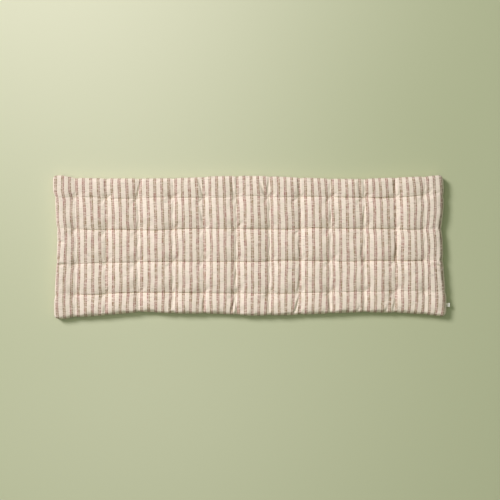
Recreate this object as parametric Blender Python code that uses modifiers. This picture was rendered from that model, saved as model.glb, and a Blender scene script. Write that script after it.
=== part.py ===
"""A tufted sofa topper: one filled pad with 4 rows of 12 tufts, and the small label in its end seam."""

import math

import bmesh
import bpy
from mathutils import Vector

# All sizes are in metres. +X runs along the topper, +Y across it, and it lies on the plane z = 0.

# The pad's outline, as lines through measured points. The corners stand out and the sides are drawn in.
# Far and near long edges: (place along X, place across Y).
FAR_EDGE = (
    (-0.912, 0.330),
    (-0.870, 0.330),
    (-0.836, 0.323),
    (-0.780, 0.318),
    (-0.499, 0.316),
    (-0.300, 0.319),
    (-0.168, 0.326),
    (0.012, 0.328),
    (0.228, 0.320),
    (0.472, 0.314),
    (0.650, 0.320),
    (0.817, 0.327),
    (0.855, 0.330),
    (0.912, 0.330),
)
NEAR_EDGE = (
    (-0.912, -0.330),
    (-0.870, -0.330),
    (-0.821, -0.324),
    (-0.692, -0.315),
    (-0.563, -0.303),
    (-0.490, -0.298),
    (-0.361, -0.305),
    (-0.180, -0.306),
    (0.012, -0.315),
    (0.160, -0.313),
    (0.357, -0.305),
    (0.500, -0.300),
    (0.688, -0.303),
    (0.817, -0.312),
    (0.912, -0.319),
)
# Left and right ends: (place across Y, place along X).
LEFT_END = (
    (-0.326, -0.907),
    (-0.258, -0.907),
    (-0.183, -0.903),
    (-0.055, -0.896),
    (0.032, -0.893),
    (0.120, -0.898),
    (0.217, -0.903),
    (0.264, -0.912),
    (0.330, -0.912),
)
RIGHT_END = (
    (-0.326, 0.895),
    (-0.286, 0.897),
    (-0.240, 0.897),
    (-0.183, 0.892),
    (-0.119, 0.886),
    (-0.058, 0.882),
    (0.010, 0.881),
    (0.088, 0.876),
    (0.185, 0.884),
    (0.264, 0.885),
    (0.330, 0.882),
)

# The tufts: where each column stands along X, and where each row lies across Y.
TUFT_COLUMNS = (-0.808, -0.668, -0.520, -0.360, -0.220, -0.069, 0.084, 0.223, 0.361, 0.518, 0.660, 0.795)
# Rows from near to far: (across at the left end, in the middle, at the right end).
TUFT_ROWS = (
    (-0.222, -0.210, -0.202),
    (-0.072, -0.064, -0.058),
    (0.082, 0.085, 0.086),
    (0.229, 0.233, 0.236),
)
ROW_BOW = 0.002  # how far a crease bows out between two tufts of its row

# Heights.
SEAM_HEIGHT = 0.019  # the edge seam, above the floor
CROWN = 0.030  # the top of a pillow, above the seam
UNDERSIDE_PRESS = 1.5  # over 1, so that the pillows' undersides are pressed flat on the floor
ROLL_WIDTH = 0.030  # how far in from the seam the edge has risen to its full height
CORNER_RADIUS = 0.022
UNEVEN = 0.05  # share by which one pillow is fuller than another

# Creases: (share of the crown that each takes away, how wide it is).
TOP_ROW_CREASE = (0.36, 0.015)
TOP_COLUMN_CREASE = (0.24, 0.022)
TOP_TUFT = (0.60, 0.021)
UNDER_ROW_CREASE = (0.40, 0.012)
UNDER_COLUMN_CREASE = (0.20, 0.018)
UNDER_TUFT = (0.40, 0.020)
CREASE_AT_SEAM = 0.45  # share of a crease's depth that is left where it runs out at the edge
NOTCH = (0.003, 0.014)  # how far a crease draws the edge in, and over what width

# Where the mesh lines lie between one crease and the next, and between the seam and the first crease.
BAY_STEPS = (0.0, 0.07, 0.25, 0.5, 0.75, 0.93)
EDGE_STEPS = (0.0, 0.035, 0.13, 0.32, 0.62, 0.90)

# The label, folded double and sewn in the right end's seam.
LABEL_WIDTH = 0.018
LABEL_TIP = 0.9118
LABEL_PLACE = -0.266  # across Y
LABEL_THICKNESS = 0.0012
LABEL_LIFT = 0.003  # how far its tip stands above the seam
LABEL_STEPS = 5
GAP = 0.0003  # between two pieces that touch

STRIPED_COTTON = (0.66, 0.54, 0.43)
LABEL_WHITE = (0.86, 0.86, 0.83)


def clear_scene():
    for old in list(bpy.data.objects):
        bpy.data.objects.remove(old)


def cloth_material(name, colour, roughness):
    material = bpy.data.materials.new(name)
    material.use_nodes = True
    shader = material.node_tree.nodes["Principled BSDF"]
    shader.inputs["Base Color"].default_value = (*colour, 1.0)
    shader.inputs["Roughness"].default_value = roughness
    shader.inputs["Metallic"].default_value = 0.0
    return material


def line_through(points, at):
    """The value at one place of a smooth line through points, level at each of its high and low points."""
    at = min(max(at, points[0][0]), points[-1][0])
    rises = [(v1 - v0) / (p1 - p0) for (p0, v0), (p1, v1) in zip(points, points[1:])]

    def slope(i):
        if i == 0 or i == len(points) - 1 or rises[i - 1] * rises[i] <= 0:
            return 0.0
        return 2 * rises[i - 1] * rises[i] / (rises[i - 1] + rises[i])

    i = max(n for n in range(len(points) - 1) if points[n][0] <= at)
    (p0, v0), (p1, v1) = points[i], points[i + 1]
    run = p1 - p0
    t = (at - p0) / run
    value = v0 * (1 + 2 * t) * (1 - t) ** 2 + v1 * t**2 * (3 - 2 * t)
    return value + run * (slope(i) * t * (1 - t) ** 2 - slope(i + 1) * t**2 * (1 - t))


def between(knots, station):
    """The place at a station, where station 0 is the first knot, 1 the second, and so on."""
    i = min(int(station), len(knots) - 2)
    return knots[i] + (knots[i + 1] - knots[i]) * (station - i)


def row_line(row, x):
    """Where a row's crease lies at x: a smooth line through its tufts, bowed between them."""
    ends = (TUFT_COLUMNS[0], 0.0, TUFT_COLUMNS[-1])
    place = line_through(tuple(zip(ends, row)), x)
    for left, right in zip(TUFT_COLUMNS, TUFT_COLUMNS[1:]):
        if left < x < right:
            place += ROW_BOW * math.sin(math.pi * (x - left) / (right - left)) ** 2
    return place


def notch(place, creases):
    """How far the edge is drawn in at this place by the creases that run out to it."""
    depth, width = NOTCH
    return depth * sum(math.exp(-(((place - crease) / width) ** 2)) for crease in creases)


def row_knots(x):
    """The places across Y, at x, of the near edge, the four row creases and the far edge."""
    drawn_in = notch(x, TUFT_COLUMNS)
    near = line_through(NEAR_EDGE, x) + drawn_in
    far = line_through(FAR_EDGE, x) - drawn_in
    return [near, *[row_line(row, x) for row in TUFT_ROWS], far]


def column_knots(y):
    """The places along X, at y, of the left end, the twelve columns of tufts and the right end."""
    left = line_through(LEFT_END, y) + notch(y, [row[0] for row in TUFT_ROWS])
    right = line_through(RIGHT_END, y) - notch(y, [row[2] for row in TUFT_ROWS])
    return [left, *TUFT_COLUMNS, right]


def plan_point(column_station, row_station):
    """A mesh point's place in the plan, and its distances in from the nearest end and long edge."""
    x = between(column_knots(0.0), column_station)
    y = between(row_knots(x), row_station)
    columns = column_knots(y)
    x = between(columns, column_station)
    rows = row_knots(x)
    y = between(rows, row_station)
    from_end = min(x - columns[0], columns[-1] - x)
    from_side = min(y - rows[0], rows[-1] - y)
    return x, y, from_end, from_side


def round_corner(x, y, from_end, from_side):
    """The square corner drawn onto a quarter disc, as a grid on a square is drawn onto a round."""
    if from_end >= CORNER_RADIUS or from_side >= CORNER_RADIUS:
        return x, y
    u = 1 - from_end / CORNER_RADIUS
    v = 1 - from_side / CORNER_RADIUS
    x_in = CORNER_RADIUS * u * (1 - math.sqrt(1 - v * v / 2))
    y_in = CORNER_RADIUS * v * (1 - math.sqrt(1 - u * u / 2))
    return x - math.copysign(x_in, x), y - math.copysign(y_in, y)


def roll(distance):
    """How far the cloth has risen at this distance in from the seam, as a quarter round from 0 to 1."""
    left = 1 - min(distance / ROLL_WIDTH, 1.0)
    return math.sqrt(1 - left * left)


def first_bay_share(place, knots):
    """How much of the first bay lies behind a place, over 1 beyond that bay."""
    return (place - knots[0]) / (knots[1] - knots[0])


def last_bay_share(place, knots):
    """How much of the last bay lies ahead of a place, over 1 before that bay."""
    return (knots[-1] - place) / (knots[-1] - knots[-2])


def sunk(x, y, row_crease, column_crease, tuft):
    """The share of its height that the cloth loses to the creases and tufts around a place."""
    to_column = min(abs(x - column) for column in TUFT_COLUMNS)
    to_row = min(abs(y - row_line(row, x)) for row in TUFT_ROWS)
    rows, columns = row_knots(x), column_knots(y)
    row_left = min(1.0, first_bay_share(x, columns), last_bay_share(x, columns))
    column_left = min(1.0, first_bay_share(y, rows), last_bay_share(y, rows))
    row_depth = row_crease[0] * (CREASE_AT_SEAM + (1 - CREASE_AT_SEAM) * row_left)
    column_depth = column_crease[0] * (CREASE_AT_SEAM + (1 - CREASE_AT_SEAM) * column_left)
    kept = 1 - row_depth * math.exp(-to_row / row_crease[1])
    kept *= 1 - column_depth * math.exp(-((to_column / column_crease[1]) ** 2))
    kept *= 1 - tuft[0] * math.exp(-((math.hypot(to_row, to_column) / tuft[1]) ** 2))
    return 1 - kept


def fullness(x, y):
    """How full the pad is at a place, since no two pillows hold the same filling."""
    return 1 + UNEVEN * (math.sin(19 * x + 1.3) * math.cos(23 * y + 0.6) + 0.5 * math.sin(41 * x + 9 * y))


def top_height(x, y, rise):
    share = fullness(x, y) * rise * (1 - sunk(x, y, TOP_ROW_CREASE, TOP_COLUMN_CREASE, TOP_TUFT))
    return SEAM_HEIGHT + CROWN * share


def under_height(x, y, rise):
    share = rise * (1 - sunk(x, y, UNDER_ROW_CREASE, UNDER_COLUMN_CREASE, UNDER_TUFT))
    return max(0.0, SEAM_HEIGHT * (1 - UNDERSIDE_PRESS * share))


def stations(bays):
    """The mesh lines over a number of bays, closer together at the creases and at the seam."""
    first = list(EDGE_STEPS)
    middle = [bay + step for bay in range(1, bays - 1) for step in BAY_STEPS]
    last = [bays - step for step in reversed(EDGE_STEPS)]
    return first + middle + [bays - 1] + last


def pad_sheet(pad_mesh, height):
    """One face of the pad: a grid laid on the plan, with each point lifted to its height."""
    across_all = stations(len(TUFT_ROWS) + 1)
    along_all = stations(len(TUFT_COLUMNS) + 1)
    sheet = bmesh.ops.create_grid(
        pad_mesh, x_segments=len(along_all) - 1, y_segments=len(across_all) - 1, size=0.5
    )
    for point in sheet["verts"]:
        along = along_all[round((point.co.x + 0.5) * (len(along_all) - 1))]
        across = across_all[round((point.co.y + 0.5) * (len(across_all) - 1))]
        x, y, from_end, from_side = plan_point(along, across)
        rise = roll(from_end) * roll(from_side)
        z = height(x, y, rise)
        point.co = Vector((*round_corner(x, y, from_end, from_side), z))


def mesh_object(name, built, material, collection):
    mesh = bpy.data.meshes.new(name)
    built.to_mesh(mesh)
    built.free()
    mesh.materials.append(material)
    mesh.shade_smooth()
    made = bpy.data.objects.new(name, mesh)
    collection.objects.link(made)
    return made


def make_pad(collection):
    """The filled pad: its top and its underside, joined all round at the seam."""
    built = bmesh.new()
    pad_sheet(built, top_height)
    pad_sheet(built, under_height)
    bmesh.ops.remove_doubles(built, verts=built.verts, dist=0.0001)
    bmesh.ops.recalc_face_normals(built, faces=built.faces)
    return mesh_object("pad", built, cloth_material("striped_cotton", STRIPED_COTTON, 0.9), collection)


def make_label(collection):
    """The label, which stands out level from the seam and lifts a little towards its tip."""
    root = line_through(RIGHT_END, LABEL_PLACE) + GAP
    built = bmesh.new()
    sheet = bmesh.ops.create_grid(built, x_segments=LABEL_STEPS, y_segments=1, size=0.5)
    for point in sheet["verts"]:
        out = point.co.x + 0.5
        x = root + (LABEL_TIP - root) * out
        y = LABEL_PLACE + LABEL_WIDTH * point.co.y
        point.co = Vector((x, y, SEAM_HEIGHT + LABEL_LIFT * out * out))
    label = mesh_object("side_label", built, cloth_material("label_tape", LABEL_WHITE, 0.6), collection)
    thickness = label.modifiers.new("thickness", "SOLIDIFY")
    thickness.thickness = LABEL_THICKNESS
    thickness.offset = 0.0
    return label


def main():
    clear_scene()
    collection = bpy.data.collections.new("sofa_topper")
    bpy.context.scene.collection.children.link(collection)
    make_pad(collection)
    make_label(collection)


main()
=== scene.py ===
from types import SimpleNamespace

import bpy
import numpy as np
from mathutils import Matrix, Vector


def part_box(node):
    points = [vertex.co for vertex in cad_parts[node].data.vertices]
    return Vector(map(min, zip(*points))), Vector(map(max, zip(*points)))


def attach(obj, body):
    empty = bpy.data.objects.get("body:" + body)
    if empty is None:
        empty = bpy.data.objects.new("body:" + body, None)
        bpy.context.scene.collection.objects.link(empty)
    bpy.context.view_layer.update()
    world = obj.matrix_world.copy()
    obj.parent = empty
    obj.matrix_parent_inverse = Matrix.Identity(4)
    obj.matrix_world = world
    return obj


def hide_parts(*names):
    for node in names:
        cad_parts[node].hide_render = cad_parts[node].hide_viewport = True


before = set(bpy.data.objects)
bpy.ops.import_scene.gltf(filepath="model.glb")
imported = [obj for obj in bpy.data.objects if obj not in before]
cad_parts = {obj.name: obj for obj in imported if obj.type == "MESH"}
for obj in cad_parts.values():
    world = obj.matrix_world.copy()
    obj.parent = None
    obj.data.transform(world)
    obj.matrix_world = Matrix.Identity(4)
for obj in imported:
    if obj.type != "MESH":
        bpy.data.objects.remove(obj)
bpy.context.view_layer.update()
print("frame loaded:", ", ".join(sorted(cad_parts)))

padLow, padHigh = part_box("pad")
padHeight = padHigh.z - padLow.z

# The pad. All sizes are in metres unless a note says mm. Stations count the grid lines: station 0 is the
# seam at one side, whole numbers are the creases, and the last one is the seam at the other side.
pad = {
    # the outline: (along, across) on the long edges, (across, along) on the ends
    "farEdge": (
        (-0.912, 0.330),
        (-0.870, 0.330),
        (-0.836, 0.323),
        (-0.780, 0.318),
        (-0.499, 0.316),
        (-0.300, 0.319),
        (-0.168, 0.326),
        (0.012, 0.328),
        (0.228, 0.320),
        (0.472, 0.314),
        (0.650, 0.320),
        (0.817, 0.327),
        (0.855, 0.330),
        (0.912, 0.330),
    ),
    "nearEdge": (
        (-0.912, -0.330),
        (-0.870, -0.330),
        (-0.821, -0.324),
        (-0.692, -0.315),
        (-0.563, -0.303),
        (-0.490, -0.298),
        (-0.361, -0.305),
        (-0.180, -0.306),
        (0.012, -0.315),
        (0.160, -0.313),
        (0.357, -0.305),
        (0.500, -0.300),
        (0.688, -0.303),
        (0.817, -0.312),
        (0.912, -0.319),
    ),
    "leftEnd": (
        (-0.326, -0.907),
        (-0.258, -0.907),
        (-0.183, -0.903),
        (-0.055, -0.896),
        (0.032, -0.893),
        (0.120, -0.898),
        (0.217, -0.903),
        (0.264, -0.912),
        (0.330, -0.912),
    ),
    "rightEnd": (
        (-0.326, 0.895),
        (-0.286, 0.897),
        (-0.240, 0.897),
        (-0.183, 0.892),
        (-0.119, 0.886),
        (-0.058, 0.882),
        (0.010, 0.881),
        (0.088, 0.876),
        (0.185, 0.884),
        (0.264, 0.885),
        (0.330, 0.882),
    ),
    # the tufts: each column's place along, and each row's place across at the
    # left, the middle and the right
    "columns": (-0.808, -0.668, -0.520, -0.360, -0.220, -0.069, 0.084, 0.223, 0.361, 0.518, 0.660, 0.795),
    "rows": (
        (-0.222, -0.210, -0.202),
        (-0.072, -0.064, -0.058),
        (0.082, 0.085, 0.086),
        (0.229, 0.233, 0.236),
    ),
    "tuftWander": 0.0012,  # how far a tuft stands off its column
    # a column's wavering: how far, its wavelength, and how much later each column's wave starts
    "columnWaver": (0.0016, 0.083, 2.1),
    "bothEnds": (-0.900, 0.880),  # about where the seams at the ends lie
    # how far each row's crease lies off that line in the middle of each bay, in mm: a
    # line for each row from near to far
    "rowBows": (
        (9, 2, 10, 9, 4, 0, -3, -6, -3, -1, -1, 1, -4),
        (-8, -3, 0, 1, 0, -2, -5, 1, -3, -7, -4, -6, -2),
        (6, -4, -3, -7, 0, -2, -3, -5, 1, -2, -3, -7, 0),
        (-3, -1, -9, -3, -6, -6, 0, -6, -4, -8, -11, -5, 10),
    ),
    "notch": (0.003, 0.014),  # how far a crease draws the edge in, and over what width
    "seamDraw": (0.0004, 0.06),  # how far the thread draws the seam in, and over what part of the rise
    "cornerRadius": 0.022,
    # how far in from the seam each side has risen to its full height
    "rollWidths": {"left": 0.012, "right": 0.022, "near": 0.014, "far": 0.008},
    # how the pad falls towards two of its sides: (share of the crown, over what distance)
    "falls": {"near": (0.20, 0.070), "right": (0.12, 0.050)},
    "seamHeight": 0.378 * padHeight,
    "crown": 0.585 * padHeight,
    "uneven": (0.045, 0.30),  # how unevenly the pad is filled, and the wavelength of that
    "undersidePress": 1.5,  # over 1, so that the underside lies flat on the floor
    # creases: (share of the crown that its wide dip takes, reach of the dip, share that the crease itself
    # takes, reach of the crease before its line, reach after it)
    "rowCrease": (0.25, 0.075, 0.10, 0.010, 0.005),
    "columnCrease": (0.165, 0.075, 0.09, 0.005, 0.009),
    # tufts: (share that the tuft takes, its reach, share that the wide dimple takes, its reach)
    "tuft": (0.24, 0.014, 0.13, 0.034),
    "underRowCrease": (0.0, 0.075, 0.40, 0.012, 0.012),
    "underColumnCrease": (0.0, 0.075, 0.20, 0.018, 0.018),
    "underTuft": (0.40, 0.020, 0.0, 0.034),
    # how strong each crease is: a line for each row from near to far, a number
    # for each bay from left to right
    "rowStrength": (
        (0.05, 1.0, 1.1, 1.1, 1.0, 0.8, 0.8, 0.9, 0.6, 0.6, 0.4, 0.3, 0.05),
        (0.15, 0.8, 0.9, 0.9, 0.9, 0.9, 1.1, 1.1, 1.1, 0.8, 1.2, 1.3, 0.1),
        (0.1, 0.8, 1.0, 1.0, 1.0, 0.7, 1.0, 1.0, 1.0, 1.0, 0.9, 0.8, 0.1),
        (0.05, 0.4, 0.5, 0.5, 0.6, 0.4, 0.4, 0.5, 0.6, 0.8, 1.0, 0.6, 0.05),
    ),
    # the same for the columns: a line for each bay from near to far, a number for each column
    "columnStrength": (
        (0.3, 0.3, 0.6, 0.8, 0.8, 0.9, 0.8, 1.0, 0.7, 0.5, 0.8, 0.4),
        (0.5, 0.4, 0.5, 0.5, 0.4, 1.1, 1.2, 1.3, 0.6, 0.5, 0.6, 0.3),
        (0.4, 0.5, 0.6, 0.5, 0.5, 1.1, 1.4, 1.1, 0.5, 1.0, 1.4, 0.5),
        (0.4, 0.7, 0.9, 0.6, 0.6, 0.8, 1.2, 1.2, 0.6, 0.8, 1.2, 0.5),
        (0.5, 0.5, 1.0, 0.6, 0.6, 0.7, 0.6, 0.7, 0.5, 0.8, 0.9, 0.7),
    ),
    "change": 0.1,  # part of a bay, at each tuft, over which a crease changes its strength
    # how much weaker the creases are at the seam, and over what distance: the rows' and the columns'
    "rowFade": (0.65, 0.03),
    "columnFade": (0.4, 0.03),
    # grid lines in a bay between two creases, and between the seam and the first crease
    "linesAlong": (36, 30),
    "linesAcross": (34, 32),
    # part of the first and of the last bay that goes to the edge's roll
    "rollPartsAlong": (0.14, 0.25),
    "rollPartsAcross": (0.16, 0.10),
    "crowding": (3.5, 0.05),  # how many more lines there are at a crease, and over what part of a bay
}

# Small folds of the cover, most of them from a tuft out to the seam: (from, to, depth, width).
folds = (
    ((-0.506, 0.313), (-0.521, 0.238), 0.0047, 0.0036),
    ((-0.243, 0.309), (-0.222, 0.236), 0.0041, 0.0036),
    ((-0.092, 0.315), (-0.083, 0.238), 0.0041, 0.0036),
    ((0.030, 0.316), (0.064, 0.240), 0.0054, 0.0036),
    ((0.081, 0.316), (0.071, 0.240), 0.0027, 0.0036),
    ((0.115, 0.314), (0.120, 0.282), 0.0020, 0.0036),
    ((0.214, 0.316), (0.218, 0.238), 0.0034, 0.0036),
    ((0.488, 0.302), (0.500, 0.236), 0.0034, 0.0036),
    ((0.656, 0.302), (0.659, 0.238), 0.0034, 0.0036),
    ((-0.237, 0.185), (-0.222, 0.106), 0.0024, 0.0036),
    ((0.366, 0.174), (0.364, 0.112), 0.0022, 0.0036),
    ((0.520, 0.184), (0.512, 0.106), 0.0024, 0.0036),
    ((0.216, 0.022), (0.224, -0.038), 0.0034, 0.0036),
    ((0.508, 0.012), (0.502, -0.050), 0.0034, 0.0036),
    ((0.664, 0.032), (0.660, -0.054), 0.0041, 0.0036),
    ((0.221, -0.138), (0.214, -0.203), 0.0038, 0.0036),
    ((-0.070, -0.108), (-0.078, -0.178), 0.0027, 0.0036),
    ((-0.372, -0.300), (-0.370, -0.238), 0.0027, 0.0036),
    ((-0.221, -0.300), (-0.220, -0.228), 0.0034, 0.0036),
    ((-0.094, -0.303), (-0.077, -0.230), 0.0054, 0.0036),
    ((-0.064, -0.303), (-0.072, -0.243), 0.0024, 0.0036),
    ((-0.032, -0.303), (-0.030, -0.276), 0.0024, 0.0036),
    ((0.196, -0.303), (0.219, -0.226), 0.0054, 0.0036),
    ((0.361, -0.298), (0.356, -0.243), 0.0024, 0.0036),
    ((0.485, -0.298), (0.497, -0.268), 0.0022, 0.0036),
    ((0.612, -0.298), (0.628, -0.260), 0.0027, 0.0036),
    ((0.646, -0.298), (0.660, -0.238), 0.0030, 0.0036),
    ((-0.890, 0.026), (-0.858, 0.020), 0.0074, 0.0042),
    ((-0.890, -0.082), (-0.850, -0.080), 0.0032, 0.0036),
    ((0.800, -0.064), (0.836, -0.078), 0.0047, 0.0036),
    ((0.828, -0.080), (0.886, -0.094), 0.0095, 0.0040),
    ((0.862, 0.129), (0.880, 0.127), 0.0024, 0.0036),
)

# How the filling swells the cover between its tufts.
swelling = {
    "linesInBay": 12,
    "frames": 20,
    "pressure": 4.0,
    "slack": 0.02,  # how much longer the cloth is than the shape that it starts from
    "held": 0.006,  # radius of cloth that a tuft holds
    "mostMove": 0.0035,  # no part of the cover moves further than this, and most of it much less
}


def smoothLine(points, at):
    # A smooth line through points, read at many places: cubic pieces whose slope at a point is the harmonic
    # mean of the slopes on its two sides, and level where the line turns.
    places, heights = np.array(points, float).T
    rises = np.diff(heights) / np.diff(places)
    turns = rises[:-1] * rises[1:] <= 0
    inner = np.where(turns, 0.0, 2 * rises[:-1] * rises[1:] / np.where(turns, 1.0, rises[:-1] + rises[1:]))
    slopes = np.concatenate([[0.0], inner, [0.0]])
    at = np.clip(at, places[0], places[-1])
    i = np.clip(np.searchsorted(places, at, side="right") - 1, 0, len(rises) - 1)
    run = places[i + 1] - places[i]
    t = (at - places[i]) / run
    level = heights[i] * (1 + 2 * t) * (1 - t) ** 2 + heights[i + 1] * t**2 * (3 - 2 * t)
    return level + run * t * (1 - t) * (slopes[i] * (1 - t) - slopes[i + 1] * t)


def ripple(x, y, wave, seed):
    # An uneven field, mostly from -1 to 1: eight waves of nearly one length,
    # crossing at random angles, added up.
    chance = np.random.default_rng(seed)
    turns = chance.uniform(0, np.pi, 8)
    starts = chance.uniform(0, 2 * np.pi, 8)
    lengths = wave * chance.uniform(0.7, 1.4, 8)
    field = np.zeros_like(x)
    for turn, start, length in zip(turns, starts, lengths):
        field += np.sin(2 * np.pi * (x * np.cos(turn) + y * np.sin(turn)) / length + start)
    return 0.4 * field


def between(knots, station):
    # The place at a station, in even steps from one knot to the next.
    i = np.clip(station.astype(int), 0, len(knots) - 2)
    low = np.take_along_axis(knots, i[None], 0)[0]
    high = np.take_along_axis(knots, i[None] + 1, 0)[0]
    return low + (high - low) * (station - i)


tuftShift = np.random.default_rng(11).normal(0, pad["tuftWander"], (len(pad["columns"]), len(pad["rows"])))


def notches(place, creases):
    # How far the seam is drawn in along an edge: one bell curve for each crease that runs out to it.
    depth, width = pad["notch"]
    return depth * sum(np.exp(-(((place - crease) / width) ** 2)) for crease in creases)


def rowLines(x):
    # The near seam, the rows of tufts and the far seam at x. A row is a smooth line through
    # three places, and a second smooth line through the bays' middles, with their means at
    # the tufts between, takes it off that.
    columns = pad["columns"]
    left, right = pad["bothEnds"]
    station = np.interp(x, (left, *columns, right), np.arange(len(columns) + 2))
    lines = [smoothLine(pad["nearEdge"], x) + notches(x, columns)]
    for row, bows in zip(pad["rows"], pad["rowBows"]):
        bows = np.array(bows) / 1000
        offLine = np.empty(2 * len(bows) - 1)
        offLine[::2] = bows
        offLine[1::2] = (bows[:-1] + bows[1:]) / 2
        line = smoothLine(tuple(zip((columns[0], 0.0, columns[-1]), row)), x)
        lines.append(line + smoothLine(tuple(zip(0.5 + 0.5 * np.arange(len(offLine)), offLine)), station))
    lines.append(smoothLine(pad["farEdge"], x) - notches(x, columns))
    return np.stack(lines)


def columnLines(y):
    # The left seam, the columns of tufts and the right seam at y. A column is a smooth line
    # through its tufts, and it wavers as a sine.
    rows = pad["rows"]
    middles = [row[1] for row in rows]
    waver, wavelength, later = pad["columnWaver"]
    lines = [smoothLine(pad["leftEnd"], y) + notches(y, [row[0] for row in rows])]
    for number, column in enumerate(pad["columns"]):
        line = column + smoothLine(tuple(zip(middles, tuftShift[number])), y)
        lines.append(line + waver * np.sin(2 * np.pi * y / wavelength + later * number))
    lines.append(smoothLine(pad["rightEnd"], y) - notches(y, [row[2] for row in rows]))
    return np.stack(lines)


def layOut(alongLines, acrossLines):
    # The place of each crossing of the grid lines. Rows bend with the place along and columns with the
    # place across, so the two are read by turns until they agree.
    at = SimpleNamespace()
    at.along, at.across = np.meshgrid(alongLines, acrossLines, indexing="ij")
    at.x = between(columnLines(np.zeros_like(at.along)), at.along)
    for _ in range(5):
        at.rows = rowLines(at.x)
        at.y = between(at.rows, at.across)
        at.columns = columnLines(at.y)
        at.x = between(at.columns, at.along)
    at.fromLeft = at.x - at.columns[0]
    at.fromRight = at.columns[-1] - at.x
    at.fromNear = at.y - at.rows[0]
    at.fromFar = at.rows[-1] - at.y
    at.fromEnd = np.minimum(at.fromLeft, at.fromRight)
    at.fromSide = np.minimum(at.fromNear, at.fromFar)
    at.rowGaps = at.y - at.rows[1:-1]
    at.columnGaps = at.x - at.columns[1:-1]
    at.nextRow = np.take_along_axis(at.rowGaps, np.abs(at.rowGaps).argmin(0)[None], 0)[0]
    at.nextColumn = np.take_along_axis(at.columnGaps, np.abs(at.columnGaps).argmin(0)[None], 0)[0]
    at.fromTuft = np.hypot(at.nextRow, at.nextColumn)
    return at


def strengths(table, station):
    # How strong a crease is along its length: the table's number in each bay,
    # with a quick change at the tufts.
    bays = np.arange(len(table))
    change = pad["change"]
    return np.interp(station, np.stack([bays + change, bays + 1 - change], 1).ravel(), np.repeat(table, 2))


def creased(crease, gap, strong):
    # The share of its height that the cloth keeps by one crease. A wide dip takes its share as the square
    # of the nearness, and the crease itself as a falling exponential of the distance.
    dip, dipReach, depth, before, after = crease
    near = np.clip(1 - np.abs(gap) / dipReach, 0, 1)
    narrow = np.exp(-np.abs(gap) / np.where(gap < 0, before, after))
    return 1 - strong * (dip * near**2 + depth * narrow)


def kept(at, rowCrease, columnCrease, tuft, asInTable):
    # The share of its height that the cloth keeps by all the creases, towards the sides that fall, as the
    # square of the nearness, and by the tufts, each a narrow bell curve within a wide one.
    share = np.ones_like(at.x)
    fade, reach = pad["rowFade"]
    for gap, table in zip(at.rowGaps, pad["rowStrength"]):
        strong = strengths(table, at.along) if asInTable else 1.0
        share *= creased(rowCrease, gap, strong * (1 - fade * np.exp(-at.fromEnd / reach)))
    fade, reach = pad["columnFade"]
    for gap, table in zip(at.columnGaps, np.array(pad["columnStrength"]).T):
        strong = strengths(table, at.across) if asInTable else 1.0
        share *= creased(columnCrease, gap, strong * (1 - fade * np.exp(-at.fromSide / reach)))
    for distance, side in ((at.fromNear, "near"), (at.fromRight, "right")):
        fall, reach = pad["falls"][side]
        share *= 1 - fall * np.clip(1 - distance / reach, 0, 1) ** 2
    for depth, reach in (tuft[:2], tuft[2:]):
        share *= 1 - depth * np.exp(-((at.fromTuft / reach) ** 2))
    return share


def roll(distance, width):
    # How far the edge has risen at a distance in from the seam: a quarter round, from 0 to 1.
    left = 1 - np.clip(distance / width, 0, 1)
    return np.sqrt(1 - left**2)


def rolls(at):
    # The rise of the two ends' edges and of the two long edges.
    widths = pad["rollWidths"]
    ends = roll(at.fromLeft, widths["left"]) * roll(at.fromRight, widths["right"])
    return ends, roll(at.fromNear, widths["near"]) * roll(at.fromFar, widths["far"])


def roundCorners(at):
    # The square corners drawn onto quarter discs, as a grid on a square is drawn onto a disc, and
    # the seam drawn in a little all round.
    radius = pad["cornerRadius"]
    draw, part = pad["seamDraw"]
    endRise, sideRise = rolls(at)
    u = np.clip(1 - at.fromEnd / radius, 0, 1)
    v = np.clip(1 - at.fromSide / radius, 0, 1)
    inX = radius * u * (1 - np.sqrt(1 - v**2 / 2)) + draw * np.exp(-endRise / part)
    inY = radius * v * (1 - np.sqrt(1 - u**2 / 2)) + draw * np.exp(-sideRise / part)
    return at.x - np.sign(at.x) * inX, at.y - np.sign(at.y) * inY


def panels(at):
    # The cover's two panels, as points. The top stands above the seam by the crown and the underside hangs
    # below it as far as the floor, each times the roll of the edge and what the creases keep.
    x, y = roundCorners(at)
    endRise, sideRise = rolls(at)
    rise = endRise * sideRise
    uneven, wavelength = pad["uneven"]
    full = 1 + uneven * ripple(at.x, at.y, wavelength, 5)
    share = kept(at, pad["rowCrease"], pad["columnCrease"], pad["tuft"], True)
    top = pad["seamHeight"] + pad["crown"] * full * rise * share
    pressed = rise * kept(at, pad["underRowCrease"], pad["underColumnCrease"], pad["underTuft"], False)
    under = np.maximum(0.0, pad["seamHeight"] * (1 - pad["undersidePress"] * pressed))
    return np.stack([x, y, top], -1), np.stack([x, y, under], -1)


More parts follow.
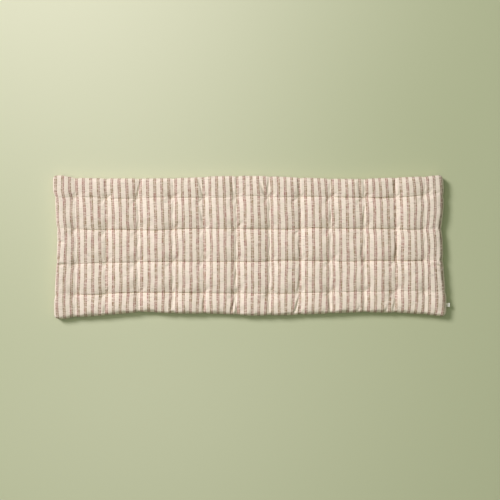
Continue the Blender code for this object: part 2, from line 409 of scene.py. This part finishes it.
def joinPanels(name, top, under):
    # One closed mesh from two grids of points that share their rim. The lower grid may have half as many
    # lines, and its outer faces then take in the rim points that lie between its own. Also returns each
    # face's corners in turn, and how many of those belong to the top.
    wide, deep = top.shape[:2]
    step = (wide - 1) // (under.shape[0] - 1)
    upper = np.arange(wide * deep).reshape(wide, deep)
    lower = upper[::step, ::step].copy()
    lower[1:-1, 1:-1] = wide * deep + np.arange(lower[1:-1, 1:-1].size).reshape(lower[1:-1, 1:-1].shape)
    points = np.concatenate([top.reshape(-1, 3), under[1:-1, 1:-1].reshape(-1, 3)])
    quads = np.stack([upper[:-1, :-1], upper[1:, :-1], upper[1:, 1:], upper[:-1, 1:]], -1)
    rings = np.full((lower.shape[0] - 1, lower.shape[1] - 1, 8), -1)
    rings[..., ::2] = np.stack([lower[:-1, :-1], lower[:-1, 1:], lower[1:, 1:], lower[1:, :-1]], -1)
    if step == 2:
        rings[0, :, 1] = upper[0, 1::2]
        rings[:, -1, 3] = upper[1::2, -1]
        rings[-1, :, 5] = upper[-1, 1::2]
        rings[:, 0, 7] = upper[1::2, 0]
    rings = rings.reshape(-1, 8)
    corners = np.concatenate([quads.ravel(), rings[rings >= 0]])
    counts = np.concatenate([np.full(quads.size // 4, 4), (rings >= 0).sum(1)])
    return newMesh(name, points, corners, counts), corners, quads.size


def newMesh(name, points, corners, counts):
    # An object from its points, the corners of its faces one after another, and
    # how many corners each face has.
    mesh = bpy.data.meshes.new(name)
    mesh.vertices.add(len(points))
    mesh.loops.add(len(corners))
    mesh.polygons.add(len(counts))
    mesh.vertices.foreach_set("co", points.astype(np.float32).ravel())
    mesh.loops.foreach_set("vertex_index", corners.astype(np.int32))
    mesh.polygons.foreach_set("loop_start", (np.cumsum(counts) - counts).astype(np.int32))
    mesh.update(calc_edges=True)
    mesh.shade_smooth()
    made = bpy.data.objects.new(name, mesh)
    bpy.context.scene.collection.objects.link(made)
    return made


def gridLines(bays, innerCount, edgeCount, rollParts):
    # Stations of the grid lines. In an inner bay they crowd towards both creases. In an edge bay the first
    # ones go round the edge's roll in steps of angle, and the rest crowd towards the crease.
    spot = np.linspace(0, 1, 600)

    def spaced(start, end, count, crowding):
        places = np.linspace(start, end, len(spot))
        total = np.cumsum(np.interp(places, spot, crowding))
        return np.interp(np.linspace(total[0], total[-1], count + 1), total, places)

    more, reach = pad["crowding"]
    rightSide = 1 + more * np.exp(-(1 - spot) / reach)
    inner = spaced(0, 1, innerCount, rightSide + more * np.exp(-spot / reach))
    angles = np.radians((0, 3, 7, 12, 18, 25, 33, 42, 52, 63, 76))
    first, last = (
        np.concatenate([part * (1 - np.cos(angles)), spaced(part, 1, edgeCount - len(angles), rightSide)])
        for part in rollParts
    )
    middle = [number + inner[:-1] for number in range(1, bays - 1)]
    return np.concatenate([first[:-1], *middle, bays - last[::-1]])


def carryMatrix(oldLines, newLines):
    # Carries values from one set of grid lines to another: cubic pieces whose slope at a
    # line is that between its two neighbours.
    values = np.eye(len(oldLines))
    slopes = np.gradient(values, oldLines, axis=0)
    i = np.clip(np.searchsorted(oldLines, newLines, side="right") - 1, 0, len(oldLines) - 2)
    run = (oldLines[i + 1] - oldLines[i])[:, None]
    t = (newLines - oldLines[i])[:, None] / run
    level = (1 + 2 * t) * (1 - t) ** 2 * values[i] + t**2 * (3 - 2 * t) * values[i + 1]
    return level + run * t * (1 - t) * ((1 - t) * slopes[i] - t * slopes[i + 1])


def swell(alongLines, acrossLines):
    # Blows the cover up between its tufts as simulated cloth on a coarse grid, and returns how far each
    # crossing of the fine grid's lines moves on the top and on the underside.
    coarse = [
        np.linspace(0, count, count * swelling["linesInBay"] + 1)
        for count in (len(pad["columns"]) + 1, len(pad["rows"]) + 1)
    ]
    at = layOut(*coarse)
    top, under = panels(at)
    trial = joinPanels("swelling_trial", top, under)[0]
    byTuft = at.fromTuft < swelling["held"]
    rim = np.minimum(at.fromEnd, at.fromSide) < 1e-6
    floorHeld = under[..., 2] < 0.001
    held = np.concatenate([(byTuft | rim).ravel(), (byTuft | floorHeld)[1:-1, 1:-1].ravel()])
    group = trial.vertex_groups.new(name="held")
    group.add(np.flatnonzero(held).tolist(), 1.0, "REPLACE")
    cloth = trial.modifiers.new("swelling", "CLOTH")
    settings = cloth.settings
    settings.quality = 6
    settings.mass = 0.3
    settings.tension_stiffness = 15
    settings.compression_stiffness = 15
    settings.shear_stiffness = 5
    settings.bending_stiffness = 0.5
    settings.vertex_group_mass = "held"
    settings.shrink_min = -swelling["slack"]
    settings.use_pressure = True
    settings.uniform_pressure_force = swelling["pressure"]
    settings.effector_weights.gravity = 0
    cloth.collision_settings.use_collision = False
    cloth.point_cache.frame_start = 1
    cloth.point_cache.frame_end = swelling["frames"]
    start = np.empty(len(held) * 3, np.float32)
    trial.data.vertices.foreach_get("co", start)
    for number in range(1, swelling["frames"] + 1):
        bpy.context.scene.frame_set(number)
    moved = np.empty_like(start)
    trial.evaluated_get(bpy.context.evaluated_depsgraph_get()).data.vertices.foreach_get("co", moved)
    move = (moved - start).reshape(-1, 3).astype(float)
    size = np.linalg.norm(move, axis=1, keepdims=True)
    print(f"the filling moves the cover by {1000 * size.mean():.1f} mm, at most {1000 * size.max():.1f} mm")
    move *= swelling["mostMove"] / (swelling["mostMove"] + size)
    bpy.context.scene.frame_set(1)
    trialMesh = trial.data
    bpy.data.objects.remove(trial)
    bpy.data.meshes.remove(trialMesh)
    topMove = move[: byTuft.size].reshape(top.shape)
    underMove = topMove.copy()
    underMove[1:-1, 1:-1] = move[byTuft.size :].reshape(under[1:-1, 1:-1].shape)
    carryAlong = carryMatrix(coarse[0], alongLines)
    carryAcross = carryMatrix(coarse[1], acrossLines)
    carried = []
    for side in (topMove, underMove):
        carried.append(np.einsum("ai,ijc,bj->abc", carryAlong, side, carryAcross, optimize=True))
    return carried


# The small relief of the top, in metres.
topRelief = {
    "groove": (0.0030, 0.0020),  # on a row's line: depth, width
    "foldEnds": (0.14, 0.88),  # the part of half a sine that a fold's depth follows from end to end
    "steeper": 0.4,  # how much steeper a fold is on one side
    "steepTowards": (-0.8, 0.6),
    "ridge": (0.4, 2.2, 1.1),  # beside a fold: share of its depth, place and width as parts of its width
    "puckers": (0.0006, 0.020, 0.011),  # round a tuft: height, how far out, width
    "wideRipples": (0.0006, 0.075),  # height, wavelength
    "fineRipples": (0.0004, 0.028),
    "rimReach": 0.03,  # how far in from the seam the fine ripples are stronger
    "smoothRim": 0.006,  # how far in from the seam the relief has grown to its full height
}


def creaseDetail(at):
    # Heights of the small folds on the top: a narrow groove on each row's line, the table's folds as a
    # trough that is steeper on its far left side and has a low ridge on each side, puckers that run out
    # from each tuft as a cosine of the angle, and soft ripples.
    height = np.zeros_like(at.x)
    fromRim = np.minimum(at.fromEnd, at.fromSide)
    depth, width = topRelief["groove"]
    for gap, table in zip(at.rowGaps, pad["rowStrength"]):
        height -= depth * strengths(table, at.along) * np.exp(-((gap / width) ** 2))
    low, high = topRelief["foldEnds"]
    steepX, steepY = topRelief["steepTowards"]
    ridge, ridgePlace, ridgeWidth = topRelief["ridge"]
    for start, end, depth, width in folds:
        start = np.array(start)
        run = np.array(end) - start
        t = np.clip(((at.x - start[0]) * run[0] + (at.y - start[1]) * run[1]) / (run @ run), 0, 1)
        offX = at.x - start[0] - t * run[0]
        offY = at.y - start[1] - t * run[1]
        distance = np.hypot(offX, offY) + 1e-9
        steepSide = (steepY * offY + steepX * offX) / distance
        away = distance / (width * (1 + topRelief["steeper"] * (1 - steepSide)))
        trough = np.exp(-(away**2)) - ridge * np.exp(-(((away - ridgePlace) / ridgeWidth) ** 2))
        height -= depth * np.sin(np.pi * (low + (high - low) * t)) * trough
    turn = np.arctan2(at.nextRow, at.nextColumn)
    own = 2.7 * np.round(at.along) + 1.3 * np.round(at.across)
    puckers = np.cos(9 * turn + own) + 0.6 * np.cos(14 * turn - 1.7 * own)
    tall, out, width = topRelief["puckers"]
    height += tall * puckers * np.exp(-(((at.fromTuft - out) / width) ** 2))
    tall, wavelength = topRelief["wideRipples"]
    height += tall * ripple(at.x, at.y, wavelength, 21)
    tall, wavelength = topRelief["fineRipples"]
    height += tall * ripple(at.x, at.y, wavelength, 22) * (0.4 + np.exp(-fromRim / topRelief["rimReach"]))
    return height * np.clip(fromRim / topRelief["smoothRim"], 0, 1)


def rollLength(distance, width):
    # How much longer the way round an edge is than in plan, from a distance in from the seam to the roll's
    # end: the arc of the quarter round, added up in short steps.
    turn = np.linspace(0, np.pi / 2, 60)
    inFrom = width * (1 - np.cos(turn))
    steps = np.hypot(np.diff(inFrom), np.diff(pad["crown"] * np.sin(turn)))
    longer = np.concatenate([np.cumsum(steps[::-1])[::-1], [0]]) - (width - inFrom)
    return np.interp(distance, inFrom, longer)


def spreadOut(at):
    # The cloth's own two measures, in metres, as if it lay flat: the place in plan, and beyond the start
    # of the edge's roll the longer way round it.
    x, y = roundCorners(at)
    widths = pad["rollWidths"]
    u = x + rollLength(at.fromRight, widths["right"]) - rollLength(at.fromLeft, widths["left"])
    v = y + rollLength(at.fromFar, widths["far"]) - rollLength(at.fromNear, widths["near"])
    return u, v


# How the stripes drift off an even spacing.
stripeDrift = {
    # (place along, drift on the middle line, lean, bow), the last three in mm. The lean grows towards the
    # far edge as the place across, and the bow towards both edges as its square.
    "places": (
        (-0.90, 5, -1, 5),
        (-0.76, 9, -4, -5),
        (-0.56, 14, -2, -6),
        (-0.33, 18, -3, -5),
        (-0.07, 18, -3, -6),
        (0.20, 14, -2, -6),
        (0.45, 12, -4, -5),
        (0.63, 13, -6, -7),
        (0.78, 10, 0, -12),
        (0.88, 4, 2, -9),
    ),
    # near the ends the stripes follow the seam: (the seam's usual place, how far in they follow it)
    "leftEnd": (-0.902, 0.10),
    "rightEnd": (0.886, 0.15),
    "tuftPull": (0.25, 0.02),  # how strongly a tuft draws the cloth in, and over what distance
    "waver": (0.0009, 0.12),  # how far the stripes waver, and the wavelength of that
}


def driftAt(at):
    # The drift, lean and bow as smooth lines along, and near each end the seam's distance from its usual
    # place, which fades inwards as a bell curve.
    places, *columns = np.array(stripeDrift["places"]).T
    across = at.y / padHigh.y
    drift = np.zeros_like(at.x)
    for power, column in enumerate(columns):
        drift += smoothLine(tuple(zip(places, column / 1000)), at.x) * across**power
    for side, distance in (("leftEnd", at.fromLeft), ("rightEnd", at.fromRight)):
        usual, reach = stripeDrift[side]
        drift += (smoothLine(pad[side], at.y) - usual) * np.exp(-((distance / reach) ** 2))
    return drift


def clothPlace(at):
    # Where each point lies on the striped cloth, in metres: the stripes' drift, a pull
    # towards each tuft and a little wavering.
    u, v = spreadOut(at)
    strong, reach = stripeDrift["tuftPull"]
    waver, wavelength = stripeDrift["waver"]
    pull = strong * np.exp(-at.fromTuft / reach)
    u = u - driftAt(at) + pull * at.nextColumn + waver * ripple(at.x, at.y, wavelength, 31)
    return u, v + pull * at.nextRow


class Wire:
    # A value on its way through a material's nodes. Arithmetic on wires makes Math nodes.
    def __init__(self, tree, socket=None):
        self.tree = tree
        self.socket = socket

    def node(self, kind, settings, inputs, output=0):
        # Any node of this material: its settings first, then its inputs, each a wire or a fixed value.
        made = self.tree.nodes.new("ShaderNode" + kind)
        for name, value in settings.items():
            setattr(made, name, value)
        for name, value in inputs.items():
            if isinstance(value, Wire):
                self.tree.links.new(value.socket, made.inputs[name])
            else:
                made.inputs[name].default_value = value
        return Wire(self.tree, made.outputs[output])

    def maths(self, operation, *values):
        return self.node("Math", {"operation": operation}, dict(enumerate(values)))

    def __add__(self, other):
        return self.maths("ADD", self, other)

    def __radd__(self, other):
        return self.maths("ADD", other, self)

    def __sub__(self, other):
        return self.maths("SUBTRACT", self, other)

    def __rsub__(self, other):
        return self.maths("SUBTRACT", other, self)

    def __mul__(self, other):
        return self.maths("MULTIPLY", self, other)

    def __rmul__(self, other):
        return self.maths("MULTIPLY", other, self)

    def __truediv__(self, other):
        return self.maths("DIVIDE", self, other)

    def __mod__(self, other):
        return self.maths("FLOORED_MODULO", self, other)

    def __abs__(self):
        return self.maths("ABSOLUTE", self)

    def wave(self, length):
        # A sine of this wavelength.
        return self.maths("SINE", self * (2 * np.pi / length))

    def ramp(self, low, high):
        # A smooth step, 0 up to low and 1 from high on.
        return self.node("MapRange", {"interpolation_type": "SMOOTHSTEP"}, {0: self, 1: low, 2: high})

    def mixed(self, low, high):
        # A colour between two, by this factor.
        return self.node("Mix", {"data_type": "RGBA"}, {0: self, 6: low, 7: high}, 2)

    def brightened(self, factor):
        return self.node("VectorMath", {"operation": "SCALE"}, {0: self, 3: factor})


def noise(u, v, alongScale, acrossScale, detail=2.0):
    # Soft noise from 0 to 1, with its own scale in each direction of the cloth.
    place = u.node("CombineXYZ", {}, {0: u * alongScale, 1: v * acrossScale})
    return u.node("TexNoise", {"noise_dimensions": "2D"}, {"Vector": place, "Scale": 1.0, "Detail": detail})


def colour(red, green, blue):
    # A colour from the three numbers of a colour picker, 0 to 255.
    return tuple(((c / 255 + 0.055) / 1.055) ** 2.4 for c in (red, green, blue)) + (1.0,)


def newMaterial(name, roughness, sheen=0.0):
    material = bpy.data.materials.new(name)
    material.use_nodes = True
    surface = material.node_tree.nodes["Principled BSDF"]
    surface.inputs["Roughness"].default_value = roughness
    surface.inputs["Sheen Weight"].default_value = sheen
    surface.inputs["Specular IOR Level"].default_value = 0.25
    return material, Wire(material.node_tree), surface


stripes = {
    "pitch": 0.03154,
    "firstCentre": -0.8636,
    "halfWidth": 0.0064,
    "middleHalfWidth": 0.0016,
    "cream": colour(243, 227, 212),
    "greenCream": colour(239, 226, 208),
    "taupe": colour(165, 118, 109),
    "brown": colour(151, 125, 92),
    "middle": colour(202, 178, 161),
    "slub": colour(230, 212, 197),
    "slubShare": 0.75,
    "thread": 0.0011,
    "ragged": 0.0016,  # how far single threads shift a stripe's edge
    "softEdge": 0.0006,
    # where along the cloth the painted shade at the two ends begins, and where across for the right one
    "leftShade": (-0.88, -0.62),
    "rightShade": (0.68, 0.86),
    "rightShadeAcross": (-0.30, -0.16),
    "paintedLineShade": 0.30,  # how much painted shade darkens the lines there
    # how much painted shade darkens the whole cloth at both ends
    "paintedEndShade": 0.05,
    "brightest": 1.015,
}


# How fine each noise in the cloth is: how many cells there are in a metre along and across.
grain = {
    "ragged": (90, 800),
    "slub": (36, 290),
    "wander": (70, 60),
    "lineColour": (80, 16),
    "faded": (130, 26),
    "warp": (1100, 14),
    "weft": (14, 1100),
    "mottles": (60, 220),
    "thickWeft": (14, 290),
}


def stripedCotton():
    # Woven cotton with a dark stripe in each pitch. The stripe is two darker lines with a lighter one
    # between them, its edges are ragged by single threads, and thick weft threads break it with short light
    # dashes. It is faded in places, both colours wander a little, and the weft threads are uneven. Painted
    # shade makes the lines deeper towards the right end and the whole cloth a little darker at both ends.
    material, start, surface = newMaterial("striped_cotton", 0.92, 0.12)
    cloth = start.node("UVMap", {"uv_map": "cloth"}, {})
    u = start.node("SeparateXYZ", {}, {0: cloth}, 0)
    v = start.node("SeparateXYZ", {}, {0: cloth}, 1)
    ragged = (noise(u, v, *grain["ragged"]) - 0.5) * stripes["ragged"]
    phase = (u + ragged - (stripes["firstCentre"] - stripes["pitch"] / 2)) / stripes["pitch"] % 1.0
    fromCentre = abs(phase - 0.5) * stripes["pitch"]
    soft = stripes["softEdge"]
    dark = 1 - fromCentre.ramp(stripes["halfWidth"] - soft, stripes["halfWidth"] + soft)
    middle = 1 - fromCentre.ramp(stripes["middleHalfWidth"] - soft, stripes["middleHalfWidth"] + soft)
    slub = noise(u, v, *grain["slub"]).ramp(0.50, 0.60) * dark
    wander = noise(u, v, *grain["wander"])
    pale = wander.ramp(0.4, 0.6).mixed(stripes["cream"], stripes["greenCream"])
    # where the painted shade at the right end lies, along and across
    rightShadeMask = u.ramp(*stripes["rightShade"]) * v.ramp(*stripes["rightShadeAcross"])
    line = noise(u, v, *grain["lineColour"]).ramp(0.4, 0.6).mixed(stripes["taupe"], stripes["brown"])
    # painted shade deepens the lines at the right end
    line = line.brightened(1 - stripes["paintedLineShade"] * rightShadeMask)
    faded = noise(u, v, *grain["faded"]).ramp(0.35, 0.65)
    hue = (dark * (0.80 + 0.20 * faded)).mixed(pale, middle.mixed(line, stripes["middle"]))
    hue = (slub * stripes["slubShare"]).mixed(hue, stripes["slub"])
    warp = noise(u, v, *grain["warp"])
    weft = noise(u, v, *grain["weft"])
    streaks = noise(u, v, *grain["mottles"]) + noise(u, v, *grain["thickWeft"])
    # painted shade at both ends, taken off the cloth's brightness
    leftShadeMask = 1 - u.ramp(*stripes["leftShade"])
    ends = stripes["paintedEndShade"] * leftShadeMask + stripes["paintedEndShade"] * rightShadeMask
    light = 0.24 + 0.05 * warp + 0.08 * weft + 0.78 * streaks
    light = light.maths("MINIMUM", light, stripes["brightest"]) - ends
    weave = u.wave(stripes["thread"]) * v.wave(stripes["thread"])
    hue = hue.brightened(light + 0.02 * weave)
    relief = weave * 0.5 + slub + weft
    bump = start.node("Bump", {}, {"Strength": 0.3, "Distance": 0.0003, "Height": relief})
    start.tree.links.new(hue.socket, surface.inputs["Base Color"])
    start.tree.links.new(bump.socket, surface.inputs["Normal"])
    return material


def plainTape():
    # Fine white tape with ribs across it.
    material, start, surface = newMaterial("label_tape", 0.7)
    place = start.node("TexCoord", {}, {}, "Object")
    along = start.node("SeparateXYZ", {}, {0: place}, 0)
    ribs = along.wave(label["ribs"])
    bump = start.node("Bump", {}, {"Strength": 0.3, "Distance": 0.0001, "Height": ribs})
    surface.inputs["Base Color"].default_value = colour(240, 238, 230)
    start.tree.links.new(bump.socket, surface.inputs["Normal"])
    return material


def plainMaterial(name, hue, roughness):
    material, _, surface = newMaterial(name, roughness)
    surface.inputs["Base Color"].default_value = hue
    return material


alongLines = gridLines(len(pad["columns"]) + 1, *pad["linesAlong"], pad["rollPartsAlong"])
acrossLines = gridLines(len(pad["rows"]) + 1, *pad["linesAcross"], pad["rollPartsAcross"])
grid = layOut(alongLines, acrossLines)
top, under = panels(grid)
topMove, underMove = swell(alongLines, acrossLines)
top += topMove
under += underMove
under[..., 2] = np.maximum(0.0, under[..., 2])
top[..., 2] += creaseDetail(grid)
topperPad, corners, topCorners = joinPanels("topper_pad", top, under[::2, ::2])
print("pad shaped:", len(topperPad.data.polygons), "faces")


def layOnUvMaps():
    # Two maps: the cloth's own measures in metres, and the two panels side by side within a square.
    def forCorners(u, v, underU, underV):
        onTop = np.stack([u, v], -1).reshape(-1, 2)
        below = np.stack([underU, underV], -1)
        inner = below[::2, ::2][1:-1, 1:-1].reshape(-1, 2)
        below = np.concatenate([below.reshape(-1, 2), inner])
        return np.concatenate([onTop[corners[:topCorners]], below[corners[topCorners:]]])

    def share(values):
        return (values - values.min()) / (values.max() - values.min())

    flatU, flatV = spreadOut(grid)
    clothU, clothV = clothPlace(grid)
    across = 0.01 + 0.98 * share(flatU)
    down = 0.48 * share(flatV)
    maps = {
        "cloth": forCorners(clothU, clothV, clothU, clothV),
        "OFBake": forCorners(across, 0.51 + down, across, 0.01 + down),
    }
    for name, values in maps.items():
        layer = topperPad.data.uv_layers.new(name=name)
        layer.uv.foreach_set("vector", values.astype(np.float32).ravel())


layOnUvMaps()
topperPad.data.materials.append(stripedCotton())
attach(topperPad, "root")
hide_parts("pad")
print("cotton laid on the pad")

stitch = {
    "length": 0.0075,
    "radius": 0.0008,
    "apart": 0.0021,
    "arch": 0.0010,
    "sunk": 0.0012,
    "headings": (0.5, 1.1),  # the least and the most that a stitch is turned, in radians
    "splay": (-0.12, 0.10),  # how far its two strands are turned off that
}


def tuftStitches(name, places, underneath):
    # Two strands of thread on each tuft. A strand is a round tube along half a sine, and its ends go down
    # into the cloth. The ones underneath are the same, turned half round.
    rings = np.linspace(0, 1, 10)[:, None]
    turn = np.linspace(0, 2 * np.pi, 8, endpoint=False)[None, :]
    x = stitch["length"] * (rings - 0.5) + 0 * turn
    y = stitch["radius"] * np.cos(turn) + 0 * rings
    tall = stitch["arch"] + stitch["sunk"]
    z = tall * np.sin(np.pi * rings) - stitch["sunk"] + stitch["radius"] * np.sin(turn)
    chance = np.random.default_rng(7)
    heading = chance.uniform(*stitch["headings"], (len(places), 1, 1, 1))
    heading = heading + np.array(stitch["splay"]).reshape(1, 2, 1, 1)
    side = stitch["apart"] * np.array((-0.5, 0.5)).reshape(1, 2, 1, 1)
    alongX = x * np.cos(heading) - (y + side) * np.sin(heading)
    alongY = x * np.sin(heading) + (y + side) * np.cos(heading)
    up = z + 0 * heading
    if underneath:
        alongY = -alongY
        up = -up
    points = np.stack([alongX, alongY, up], -1) + places[:, None, None, None, :]
    index = np.arange(points[..., 0].size).reshape(points.shape[:-1])
    onward = np.roll(index, -1, axis=3)
    walls = np.stack([index[:, :, :-1], onward[:, :, :-1], onward[:, :, 1:], index[:, :, 1:]], -1)
    firstEnds = index[:, :, 0, ::-1]
    lastEnds = index[:, :, -1]
    corners = np.concatenate([walls.ravel(), firstEnds.ravel(), lastEnds.ravel()])
    counts = np.concatenate([np.full(walls.size // 4, 4), np.full(firstEnds.size // 8 * 2, 8)])
    return newMesh(name, points.reshape(-1, 3), corners, counts)


thread = plainMaterial("cream_thread", colour(226, 214, 196), 0.8)
tuftAlong = np.searchsorted(alongLines, np.arange(1, len(pad["columns"]) + 1) - 1e-6)
tuftAcross = np.searchsorted(acrossLines, np.arange(1, len(pad["rows"]) + 1) - 1e-6)
for name, side, underneath in (("tuft_stitches", top, False), ("underside_stitches", under, True)):
    places = side[np.ix_(tuftAlong, tuftAcross)].reshape(-1, 3)
    stitches = tuftStitches(name, places, underneath)
    stitches.data.materials.append(thread)
    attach(stitches, "root")
print("tufts stitched:", len(places))

label = {
    "width": 0.018,
    "place": -0.266,
    "sewnIn": 0.0016,
    "tip": 0.9118,
    "lift": 0.0050,
    "foldRadius": 0.0004,
    "thickness": 0.00035,
    "ribs": 0.0008,
    "waver": (0.0004, 260),  # how far the tip waves across its width, and that wave's radians in a metre
}


def foldedLabel():
    # A strip of tape swept along its width: out on a line that lifts as a cube, round a half
    # circle at the tip, and back under itself.
    root = smoothLine(pad["rightEnd"], label["place"]) - label["sewnIn"]
    reach = label["tip"] - label["thickness"] / 2 - label["foldRadius"] - root
    out = np.linspace(0, 1, 16)
    turn = np.linspace(0, np.pi, 9)[1:-1]
    radius = label["foldRadius"]
    alongPath = np.concatenate([reach * out, reach + radius * np.sin(turn), reach * out[::-1]])
    offset = np.concatenate([np.full_like(out, radius), radius * np.cos(turn), np.full_like(out, -radius)])
    heightAt = pad["seamHeight"] + offset + label["lift"] * np.clip(alongPath / reach, 0, 1) ** 3
    widths = np.linspace(-0.5, 0.5, 7) * label["width"]
    x = root + alongPath[:, None] + 0 * widths
    y = label["place"] + widths + 0 * alongPath[:, None]
    waver, turning = label["waver"]
    z = heightAt[:, None] + waver * np.sin(widths * turning) * (alongPath[:, None] / reach)
    points = np.stack([x, y, z], -1)
    index = np.arange(x.size).reshape(x.shape)
    quads = np.stack([index[:-1, :-1], index[1:, :-1], index[1:, 1:], index[:-1, 1:]], -1)
    made = newMesh("side_label_tape", points.reshape(-1, 3), quads.ravel(), np.full(quads.size // 4, 4))
    solid = made.modifiers.new("thickness", "SOLIDIFY")
    solid.thickness = label["thickness"]
    solid.offset = 0
    flatLength = 2 * reach + np.pi * radius
    print(f"label folded from {1000 * flatLength:.1f} mm of tape")
    return made, flatLength


tape, tapeLength = foldedLabel()
tape.data.materials.append(plainTape())
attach(tape, "root")
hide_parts("side_label")

studio = {
    "floorHalf": 30.0,
    "floorDrop": 0.0004,
    # the floor is between two greens, with painted pools of light that are (along, across, reach, strength)
    "darkFloor": colour(156, 166, 122),
    "lightFloor": colour(228, 228, 202),
    "floorLight": 0.31,
    "paintedLightPools": ((-0.87, 1.61, 2.20, 0.65), (-0.48, -0.56, 1.85, 0.20)),
    # the lamps are (place, diameter, power, colour)
    "lamps": {
        "key": ((-9.70, 7.30, 10.0), 5.2, 2420.0, (0.957, 0.907, 0.98)),
        "overhead": ((0.0, 0.0, 7.0), 8.0, 142.0, (0.92, 1.0, 0.80)),
    },
    "fill": (0.92, 1.0, 0.80, 1.0),
    "fillStrength": 0.153,
}


def sageFloor():
    # A smooth green floor with soft painted pools of light, each a smooth step of the distance from its
    # middle.
    material, start, surface = newMaterial("sage_floor", 0.95)
    place = start.node("TexCoord", {}, {}, "Object")
    light = studio["floorLight"]
    # each painted pool of light brightens the floor colour towards its middle
    for x, y, reach, strength in studio["paintedLightPools"]:
        distance = start.node("VectorMath", {"operation": "DISTANCE"}, {0: place, 1: (x, y, 0)}, "Value")
        light = light + strength * (1 - distance.ramp(0.0, reach))
    hue = light.mixed(studio["darkFloor"], studio["lightFloor"])
    start.tree.links.new(hue.socket, surface.inputs["Base Color"])
    return material


def setUpStudio():
    # A wide floor, a large soft lamp far up to the left, a wider one overhead
    # and even light from all round.
    half = studio["floorHalf"]
    points = np.array([(-half, -half, 0.0), (half, -half, 0.0), (half, half, 0.0), (-half, half, 0.0)])
    points[:, 2] = -studio["floorDrop"]
    floor = newMesh("floor", points, np.arange(4), np.array([4]))
    floor.data.materials.append(sageFloor())
    for name, (place, diameter, power, hue) in studio["lamps"].items():
        lamp = bpy.data.lights.new(name, "AREA")
        lamp.shape = "DISK"
        lamp.size = diameter
        lamp.energy = power
        lamp.color = hue
        holder = bpy.data.objects.new(name, lamp)
        holder.location = place
        holder.rotation_euler = Vector(place).to_track_quat("Z", "Y").to_euler()
        bpy.context.scene.collection.objects.link(holder)
    world = bpy.data.worlds.new("soft_light")
    world.use_nodes = True
    world.node_tree.nodes["Background"].inputs["Color"].default_value = studio["fill"]
    world.node_tree.nodes["Background"].inputs["Strength"].default_value = studio["fillStrength"]
    bpy.context.scene.world = world
    bpy.context.scene.view_settings.view_transform = "Standard"


view = {"lens": 85, "sensor": 36, "farthest": 200, "place": (-0.0067, -0.0132, 5.452)}


def setUpCamera():
    # Straight above the topper and looking down, with the far edge at the top of the picture.
    lens = bpy.data.cameras.new("camera")
    lens.lens = view["lens"]
    lens.sensor_width = view["sensor"]
    lens.clip_end = view["farthest"]
    lens.dof.use_dof = False
    camera = bpy.data.objects.new("camera", lens)
    camera.location = view["place"]
    bpy.context.scene.collection.objects.link(camera)
    bpy.context.scene.camera = camera


setUpStudio()
setUpCamera()
print("studio and camera ready")
